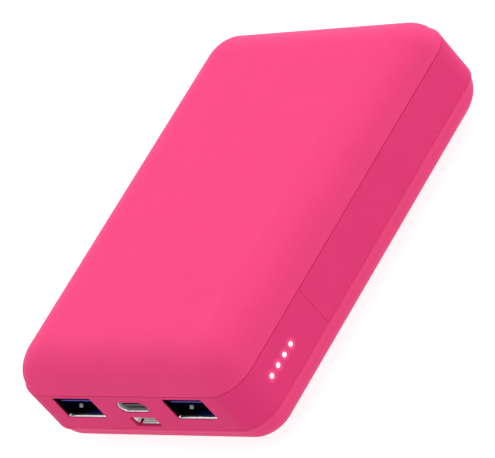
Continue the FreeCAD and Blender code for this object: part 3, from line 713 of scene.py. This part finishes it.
class Finish:
    # a material with its shader's fixed values set on the shader itself
    def __init__(self, name, **fixed):
        self.material = bpy.data.materials.new(name)
        self.material.use_nodes = True
        self.tree = self.material.node_tree
        self.shader = self.tree.nodes["Principled BSDF"]
        for socket, setting in fixed.items():
            self.shader.inputs[self.spaced(socket)].default_value = setting

    def spaced(self, name):
        # specularIorLevel becomes Specular IOR Level
        words = "".join(" " + letter if letter.isupper() else letter for letter in name)
        return words.title().replace("Ior", "IOR")

    def add(self, kind, settings=None, output=0, numbered=None, **sockets):
        # a node with its settings first, then its sockets, by number or by name
        node = self.tree.nodes.new("ShaderNode" + kind)
        for name, setting in (settings or {}).items():
            setattr(node, name, setting)
        terms = dict(numbered or {})
        terms.update((self.spaced(name), term) for name, term in sockets.items())
        for place, term in terms.items():
            socket = node.inputs[place]
            if isinstance(term, Wire):
                self.tree.links.new(term.socket, socket)
            else:
                socket.default_value = term
        return Wire(self.tree, node.outputs[output])

    def place(self, scale=(1, 1, 1)):
        spot = self.add("TexCoord", output="Object")
        if scale == (1, 1, 1):
            return spot
        return self.add("Mapping", vector=spot, scale=scale)

    def noise(self, size, detail=2.0, rough=0.5, scale=(1, 1, 1)):
        # a noise whose features are about the size given, from 0 to 1
        return self.add(
            "TexNoise", vector=self.place(scale), scale=1 / size, detail=detail, roughness=rough)

    def ramp(self, value, low, high, fromLow=0.0, fromHigh=1.0):
        return self.add(
            "MapRange", {"clamp": True}, value=value, fromMin=fromLow, fromMax=fromHigh,
            toMin=low, toMax=high)

    def mix(self, amount, first, second):
        return self.add("Mix", {"data_type": "RGBA"}, 2, {0: amount, 6: first, 7: second})

    def feed(self, name, wire):
        self.tree.links.new(wire.socket, self.shader.inputs[name])

    def tint(self, amount, first, second):
        self.feed("Base Color", self.mix(amount, first, second))

    def bump(self, height, strength, distance):
        self.feed("Normal", self.add("Bump", height=height, strength=strength, distance=distance))


def shade(colour, factor):
    return tuple(part * factor for part in colour[:3]) + (1.0,)


plastic = {
    "cover": (0.655, 0.044, 0.162, 1.0),
    # painted shade: the band's tone is darker than the cover's, standing in for the lesser light on its
    # upright walls
    "band": (0.605, 0.032, 0.142, 1.0),
    "grain": 0.09 * mm,
    "mottle": 9 * mm,
    "grainDepth": 0.006 * mm,
    "roughness": (0.50, 0.60),
}


def softTouch(name, colour):
    # a rubbery paint over moulded plastic: fine even grain, faint mottle in tone and gloss
    finish = Finish(name, specularIorLevel=0.05)
    mottle = finish.noise(plastic["mottle"], detail=3.0)
    grain = finish.noise(plastic["grain"], detail=2.0, rough=0.6)
    finish.tint(finish.ramp(mottle, 0, 1, 0.35, 0.65), shade(colour, 0.985), shade(colour, 1.015))
    low, high = plastic["roughness"]
    finish.feed("Roughness", finish.ramp(mottle * 0.5 + grain * 0.5, low, high, 0.3, 0.7))
    finish.bump(grain, 0.35, plastic["grainDepth"])
    return finish


def nearLamps(finish, full, none):
    # 1 close to a lamp's axis, falling to 0 away from it
    spot = finish.place()
    total = None
    for lamp in lampSpots:
        away = finish.add("VectorMath", {"operation": "DISTANCE"}, "Value", {0: spot, 1: lamp})
        glow = finish.ramp(away, 1.0, 0.0, full, none)
        total = glow if total is None else total.maths("MAXIMUM", total, glow)
    return total


def lampGlow(finish):
    # the wall round each lamp glows where light leaks into it
    glow = nearLamps(finish, lamps["radius"] * 0.8, lamps["radius"] + lamps["glowReach"]) ** 2.8
    finish.feed("Emission Color", finish.mix(glow * 0.42, (0, 0, 0, 1), (1.0, 0.22, 0.42, 1)))
    finish.shader.inputs["Emission Strength"].default_value = 1.0


def steel(name, colour, grain=(1, 1, 1), rough=(0.22, 0.38), metal=1.0):
    finish = Finish(name, metallic=metal)
    brushed = finish.noise(0.06 * mm, detail=2.0, scale=grain)
    stain = finish.noise(2.5 * mm, detail=3.0)
    finish.tint(finish.ramp(stain, 0, 1, 0.35, 0.7), shade(colour, 0.9), shade(colour, 1.06))
    finish.feed("Roughness", finish.ramp(brushed, rough[0], rough[1], 0.3, 0.7))
    finish.bump(brushed, 0.15, 0.004 * mm)
    return finish


def moulded(name, colour, rough=(0.38, 0.5), grainDepth=0.004 * mm, gloss=0.4):
    finish = Finish(name, specularIorLevel=gloss)
    grain = finish.noise(0.12 * mm, detail=2.0)
    flow = finish.noise(4 * mm, detail=2.0)
    finish.tint(finish.ramp(flow, 0, 1, 0.35, 0.65), shade(colour, 0.92), shade(colour, 1.08))
    finish.feed("Roughness", finish.ramp(grain, rough[0], rough[1], 0.3, 0.7))
    finish.bump(grain, 0.25, grainDepth)
    return finish


def paintedShadeCavity():
    # painted shade: black inside each wide socket where shade falls, turning navy towards its far end
    finish = Finish("shadedSocketInside", specularIorLevel=0.04)
    across = finish.add("SeparateXYZ", output="X", vector=finish.place()) / mm + 2 * socketPitch
    along = across.maths("MODULO", across, socketPitch)
    grain = finish.noise(0.12 * mm, detail=2.0)
    navy = finish.ramp(along, 0, 1, 0.46 * socketPitch, 0.62 * socketPitch)
    finish.tint(navy, (0.0008, 0.0008, 0.0016, 1), (0.001, 0.008, 0.11, 1))
    finish.feed("Roughness", finish.ramp(grain, 0.5, 0.62, 0.3, 0.7))
    finish.bump(grain, 0.25, 0.004 * mm)
    return finish


def shadedSunkSteel():
    # satin steel inside the oval socket, with painted shade: darker the deeper it lies
    finish = Finish("shadedSunkSteel", specularIorLevel=0.15, metallic=0.2)
    deep = finish.add("SeparateXYZ", output="Y", vector=finish.place()) - ovalLow.y
    grain = finish.noise(0.12 * mm, detail=2.0)
    light = finish.ramp(deep, 1, 0, 0.5 * mm, 1.7 * mm)
    finish.tint(light, (0.004, 0.004, 0.004, 1), (0.42, 0.42, 0.43, 1))
    finish.feed("Roughness", finish.ramp(grain, 0.5, 0.62, 0.3, 0.7))
    finish.bump(grain, 0.25, 0.004 * mm)
    return finish


def lampLens():
    finish = Finish("lampLens", roughness=0.3, specularIorLevel=0.4, emissionStrength=1.0)
    frost = finish.noise(0.15 * mm, detail=2.0)
    finish.tint(frost, (0.80, 0.70, 0.74, 1), (0.90, 0.80, 0.84, 1))
    core = nearLamps(finish, 0.34 * mm, 0.58 * mm)
    finish.feed("Emission Color", finish.mix(core, (0.42, 0.10, 0.20, 1), (1, 1, 1, 1)))
    finish.bump(frost, 0.1, 0.01 * mm)
    return finish


def boardMask():
    # glossy solder mask with faint copper tracks under it
    finish = Finish("boardMask", coatWeight=0.4, coatRoughness=0.12, specularIorLevel=0.5)
    grid = finish.add(
        "TexBrick", {"offset": 0.5}, output="Fac", vector=finish.place((700, 700, 700)), mortarSize=0.03,
        mortarSmooth=0.1, scale=1.0, brickWidth=1.7, rowHeight=0.6)
    weave = finish.noise(0.3 * mm, detail=2.0)
    finish.tint(grid, (0.010, 0.13, 0.055, 1), (0.02, 0.22, 0.09, 1))
    finish.feed("Roughness", finish.ramp(weave, 0.3, 0.42, 0.3, 0.7))
    finish.bump(grid * 0.6 + weave * 0.4, 0.3, 0.02 * mm)
    return finish


def foamSkin():
    finish = Finish("foamSkin", specularIorLevel=0.2)
    cells = finish.add(
        "TexVoronoi", {"feature": "F1"}, output="Distance", vector=finish.place(), scale=1 / (0.35 * mm))
    finish.tint(cells, (0.02, 0.02, 0.022, 1), (0.09, 0.09, 0.095, 1))
    finish.feed("Roughness", finish.ramp(cells, 0.95, 0.75))
    finish.bump(cells, 0.6, 0.05 * mm)
    return finish


def cellWrap():
    # shrunk film: glossy, with fine creases around the cell
    finish = Finish("cellWrap", coatWeight=0.6, coatRoughness=0.1, specularIorLevel=0.5)
    crease = finish.noise(0.9 * mm, detail=4.0, rough=0.6, scale=(1, 0.25, 1))
    finish.tint(crease, (0.03, 0.22, 0.42, 1), (0.06, 0.34, 0.58, 1))
    finish.feed("Roughness", finish.ramp(crease, 0.28, 0.42, 0.3, 0.7))
    finish.bump(crease, 0.3, 0.03 * mm)
    return finish


def winding():
    # enamelled turns, one wire wide
    finish = Finish("winding", metallic=0.85, coatWeight=0.5, coatRoughness=0.1)
    turns = finish.add(
        "TexWave", {"wave_type": "BANDS", "bands_direction": "Z", "wave_profile": "SIN"}, output="Fac",
        vector=finish.place(), scale=1 / (1.25 * mm), distortion=0.1)
    tone = finish.noise(1 * mm)
    finish.tint(tone, (0.42, 0.13, 0.045, 1), (0.66, 0.27, 0.10, 1))
    finish.feed("Roughness", finish.ramp(tone, 0.22, 0.4))
    finish.bump(turns, 0.8, 0.1 * mm)
    return finish


def card():
    finish = Finish("card", specularIorLevel=0.2)
    fibres = finish.noise(0.2 * mm, detail=4.0, rough=0.65, scale=(1, 1, 0.3))
    finish.tint(fibres, (0.52, 0.56, 0.55, 1), (0.74, 0.77, 0.75, 1))
    finish.feed("Roughness", finish.ramp(fibres, 0.75, 0.95))
    finish.bump(fibres, 0.4, 0.01 * mm)
    return finish


print("finishes")
coverFinish = softTouch("softTouchCover", plastic["cover"])
bandFinish = softTouch("softTouchBand", plastic["band"])
frameFinish = softTouch("softTouchFrame", plastic["band"])
lampGlow(frameFinish)
lensFinish = lampLens()
socketSteel = steel("socketSteel", (0.74, 0.75, 0.77), grain=(1, 0.08, 1), rough=(0.20, 0.34))
brightSatin = steel("brightSatin", (0.88, 0.89, 0.89), rough=(0.45, 0.6), metal=0.2)
shadedSocketInside = paintedShadeCavity()
# painted shade and highlight: the blue tongue is near black, and its top front edge is a lighter blue as a
# painted highlight
shadedTongueBlue = moulded("shadedTongueBlue", (0.0004, 0.0008, 0.007), rough=(0.55, 0.65), gloss=0.0)
tongueEdgeHighlight = moulded("tongueEdgeHighlight", (0.02, 0.04, 0.34), rough=(0.3, 0.4))
blackMoulded = moulded("blackMoulded", (0.012, 0.012, 0.014))
leafGlintGrey = moulded("leafGlintGrey", (0.24, 0.24, 0.24), rough=(0.45, 0.55))

slotFinishes = {
    "lamp_package": moulded("lampPackage", (0.86, 0.86, 0.80), rough=(0.3, 0.4)),
    "black_plastic": blackMoulded,
    "white_plastic": moulded("whiteMoulded", (0.78, 0.78, 0.75)),
    "blue_plastic": shadedTongueBlue,
    "board_laminate": boardMask(),
    "screw_steel": steel("screwSteel", (0.55, 0.55, 0.56), rough=(0.3, 0.5)),
    "ferrite": moulded("ferrite", (0.035, 0.035, 0.04), rough=(0.5, 0.75), grainDepth=0.02 * mm),
    "winding_copper": winding(),
    "can_aluminium": steel("canAluminium", (0.80, 0.81, 0.83), grain=(1, 1, 0.1), rough=(0.3, 0.45)),
    "chip_plastic": moulded("chipMoulded", (0.014, 0.014, 0.016), rough=(0.55, 0.7), grainDepth=0.01 * mm),
    "solder_tin": steel("solderTin", (0.70, 0.70, 0.72), rough=(0.25, 0.45)),
    "capacitor_ceramic": moulded("capacitorCeramic", (0.40, 0.26, 0.14), rough=(0.4, 0.6)),
    "socket_steel": socketSteel,
    "contact_gold": steel("contactGold", (0.83, 0.60, 0.22), rough=(0.2, 0.32)),
    "card_washer": card(),
    "nickel": steel("nickelStrip", (0.66, 0.64, 0.60), grain=(0.1, 1, 1), rough=(0.28, 0.42)),
    "cell_steel": steel("cellSteel", (0.62, 0.63, 0.65), grain=(1, 0.1, 1), rough=(0.22, 0.36)),
    "cell_wrap": cellWrap(),
    "foam": foamSkin(),
    "red_insulation": moulded("redInsulation", (0.45, 0.012, 0.012), rough=(0.45, 0.6)),
    "black_insulation": moulded("blackInsulation", (0.014, 0.014, 0.015), rough=(0.45, 0.6)),
    "sensor_resin": moulded("sensorResin", (0.02, 0.02, 0.024), rough=(0.15, 0.25)),
    "lamp_lens": lensFinish,
    "cover_plastic": coverFinish,
    "band_plastic": bandFinish,
}


def dress(piece, finish):
    piece.data.materials.clear()
    piece.data.materials.append(finish.material)


def dressFaces(piece, finish, test):
    # gives some of a piece's faces a finish of their own
    piece.data.materials.append(finish.material)
    number = len(piece.data.materials) - 1
    for face in piece.data.polygons:
        if test(face):
            face.material_index = number


for record in frame["record"]["subparts"]:
    dress(frame["nodes"][record["node"]], slotFinishes[record["material_slot"]])

dress(topCover, coverFinish)
dress(bottomCover, coverFinish)
dress(sideBand, bandFinish)
dress(portFrame, frameFinish)
dress(lampGuide, lensFinish)
dress(chargeKey, bandFinish)


lipFinish = {"flush": 0.03 * mm, "edge": 0.13 * mm, "lowerRim": 0.4 * mm}


def dressShell(shell, centre, half, front, finish):
    # the cavity's walls, and a wide socket's rim, are darker, all but the lower side of the lip: painted
    # shade, near black in the wide sockets and fading with depth in the oval one
    def cavity(face):
        away = min(half.x - abs(face.center.x - centre.x), half.z - abs(face.center.z - centre.z))
        lowerLip = face.center.y < front + lipDeep and face.normal.z > 0.4
        lowerRim = face.center.z < centre.z - half.z + lipFinish["lowerRim"]
        if face.center.y < front + lipFinish["flush"]:
            return finish is shadedSocketInside and not lowerRim
        return away > lipFinish["edge"] and not lowerLip

    dress(shell, socketSteel)
    dressFaces(shell, finish, cavity)


for side, shell in usbShells.items():
    low, high = sockets[side]
    half = Vector((flare["mouth"] / 2, 0, (high.z - low.z) / 2 + flare["out"]))
    dressShell(shell, (low + high) / 2, half, low.y - flare["proud"], shadedSocketInside)
dressShell(ovalShell, (ovalLow + ovalHigh) / 2, (ovalHigh - ovalLow) / 2, ovalLow.y, shadedSunkSteel())
dressShell(microShell, (microLow + microHigh) / 2, (microHigh - microLow) / 2, microLow.y, brightSatin)
for side, blade in usbTongues.items():
    low, high = sockets[side]
    ridge = (low.z + high.z) / 2 + tongue["lift"] + tongue["rise"] / 2
    tipBack, tipFoot = low.y + tongue["recess"] + tongue["tipDeep"], ridge - tongue["tipRise"]
    dress(blade, shadedTongueBlue)
    # painted highlight: the faces along the tongue's top front edge take the lighter blue
    dressFaces(blade, tongueEdgeHighlight, lambda face: face.center.y < tipBack and face.center.z > tipFoot)
for blade in usbLeaves.values():
    # painted glint: each leaf is dressed in flat grey rather than steel
    dress(blade, leafGlintGrey)

# piece, body, the nodes it replaces, material slot
rides = [
    (topCover, "case", ["top_cover"], "cover_plastic"),
    (bottomCover, "case", ["bottom_cover"], "cover_plastic"),
    (sideBand, "case", ["side_band"], "band_plastic"),
    (portFrame, "case", ["port_frame"], "band_plastic"),
    (lampGuide, "case", ["light_guide"], "lamp_lens"),
    (chargeKey, "button", ["charge_button"], "band_plastic"),
    (ovalShell, "case", ["usb_c_shell"], "socket_steel"),
    (microShell, "case", ["micro_usb_shell"], "socket_steel"),
]
for side in sockets:
    rides.append((usbShells[side], "case", ["usb_a_%s_shell" % side], "socket_steel"))
    rides.append((usbTongues[side], "case", ["usb_a_%s_tongue" % side], "blue_plastic"))
    rides.append((usbLeaves[side], "case", [], "socket_steel"))
for piece, body, nodes, slot in rides:
    deselectAll()
    if nodes:
        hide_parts(*nodes)
    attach(piece, body)


stage = {
    "floorSize": 8.0,
    "floorDrop": 0.02 * mm,
    "backdropRise": 1.0,
    "floorGlow": 0.86,
    "floorTone": (0.25, 0.25, 0.25, 1.0),
    "worldTone": (1.0, 1.0, 1.0, 1.0),
    "worldStrength": 0.51,
}
lightRig = [
    # name, place, size, power
    ("overhead", (0.0, -0.1, 1.3), 1.3, 8.5),
    ("backHigh", (-0.2, 1.1, 0.8), 1.0, 13.0),
    ("leftHigh", (-1.1, 0.1, 0.8), 1.0, 4.4),
    ("rightBack", (0.9, 1.0, 0.35), 0.9, 3.3),
    ("rightLow", (1.3, -0.1, 0.4), 0.9, 2.9),
    ("leftFront", (-0.8, -1.1, 0.3), 0.9, 1.4),
]
camera = {
    "azimuth": 58.937,
    "elevation": 30.599,
    "roll": 41.92,
    "distance": 955.6 * mm,
    "lens": 322.43,
    "target": (-0.874 * mm, 0.337 * mm, 13.29 * mm),
}


def makeStage():
    # a plain floor whose far edges turn up into a low backdrop
    deselectAll()
    bpy.ops.mesh.primitive_plane_add(size=stage["floorSize"], location=(0, 0, -stage["floorDrop"]))
    floor = bpy.context.object
    floor.name = "floor"
    edit(floor)
    bpy.ops.mesh.select_all(action="SELECT")
    bpy.ops.mesh.extrude_edges_move(TRANSFORM_OT_translate={"value": (0, 0, stage["backdropRise"])})
    bpy.ops.object.mode_set(mode="OBJECT")
    finish = Finish(
        "floorPaint", specularIorLevel=0.1, emissionColor=(1, 1, 1, 1), emissionStrength=stage["floorGlow"])
    speckle = finish.noise(1.5 * mm, detail=3.0)
    tone = stage["floorTone"]
    finish.tint(speckle, shade(tone, 0.995), shade(tone, 1.005))
    finish.feed("Roughness", finish.ramp(speckle, 0.75, 0.85))
    dress(floor, finish)
    world = bpy.data.worlds.new("studio")
    world.use_nodes = True
    background = world.node_tree.nodes["Background"]
    background.inputs["Color"].default_value = stage["worldTone"]
    background.inputs["Strength"].default_value = stage["worldStrength"]
    bpy.context.scene.world = world
    bpy.context.scene.view_settings.view_transform = "Standard"


def makeLights():
    aim = Vector((0, 0, midLevel))
    for name, place, size, power in lightRig:
        bpy.ops.object.light_add(type="AREA", location=place)
        lamp = bpy.context.object
        lamp.name = name
        lamp.data.size = size
        lamp.data.energy = power
        lamp.rotation_euler = (aim - Vector(place)).to_track_quat("-Z", "Y").to_euler()


def makeCamera():
    turn, tilt = math.radians(camera["azimuth"]), math.radians(camera["elevation"])
    away = Vector((math.sin(turn) * math.cos(tilt), -math.cos(turn) * math.cos(tilt), math.sin(tilt)))
    target = Vector(camera["target"])
    bpy.ops.object.camera_add(location=target + away * camera["distance"])
    view = bpy.context.object
    view.name = "mainCamera"
    view.data.lens = camera["lens"]
    view.data.sensor_width = 36
    view.data.clip_start = 0.01
    view.rotation_euler = (-away).to_track_quat("-Z", "Y").to_euler()
    bpy.context.view_layer.update()
    view.rotation_euler.rotate_axis("Z", math.radians(-camera["roll"]))
    bpy.context.scene.camera = view


print("stage")
makeStage()
makeLights()
makeCamera()
